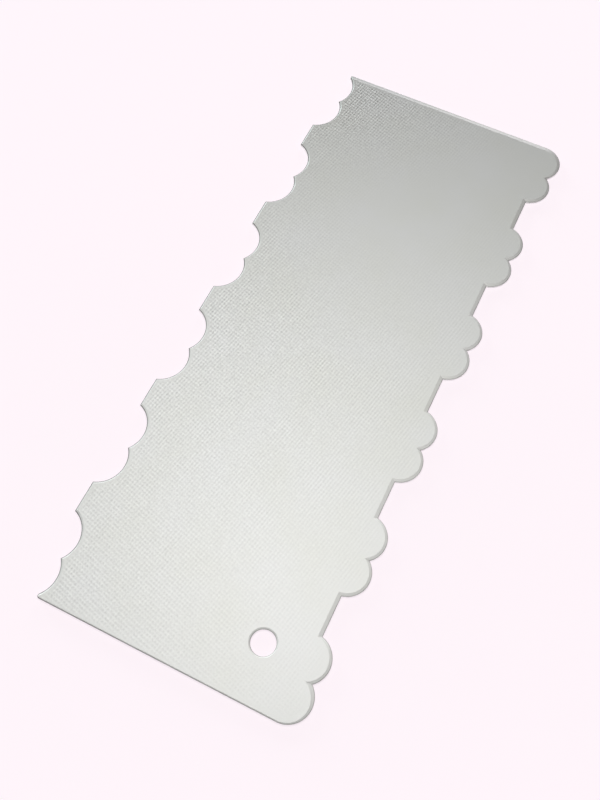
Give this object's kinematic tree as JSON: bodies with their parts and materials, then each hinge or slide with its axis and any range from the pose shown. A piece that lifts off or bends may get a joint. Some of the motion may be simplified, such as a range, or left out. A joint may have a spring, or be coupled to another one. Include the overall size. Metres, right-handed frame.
{
  "type": "icing smoother",
  "caption": "Flat bevelled cake comb sheet with paired round lobes along one long edge, matching paired scoops along the other, and a hanging hole near one corner.",
  "frame": {"origin": "middle of the back face's bounding box, on the surface that the sheet lies on", "axes": "+X across the sheet towards the lobed edge, +Y along it away from the hanging hole, +Z out of the front face"},
  "size_m": [0.0926, 0.23, 0.0018],
  "materials": {
    "sheet": "satin, with a fine linen emboss on the faces"
  },
  "bodies": {
    "root": {"comb_sheet": "sheet"}
  },
  "joints": []
}
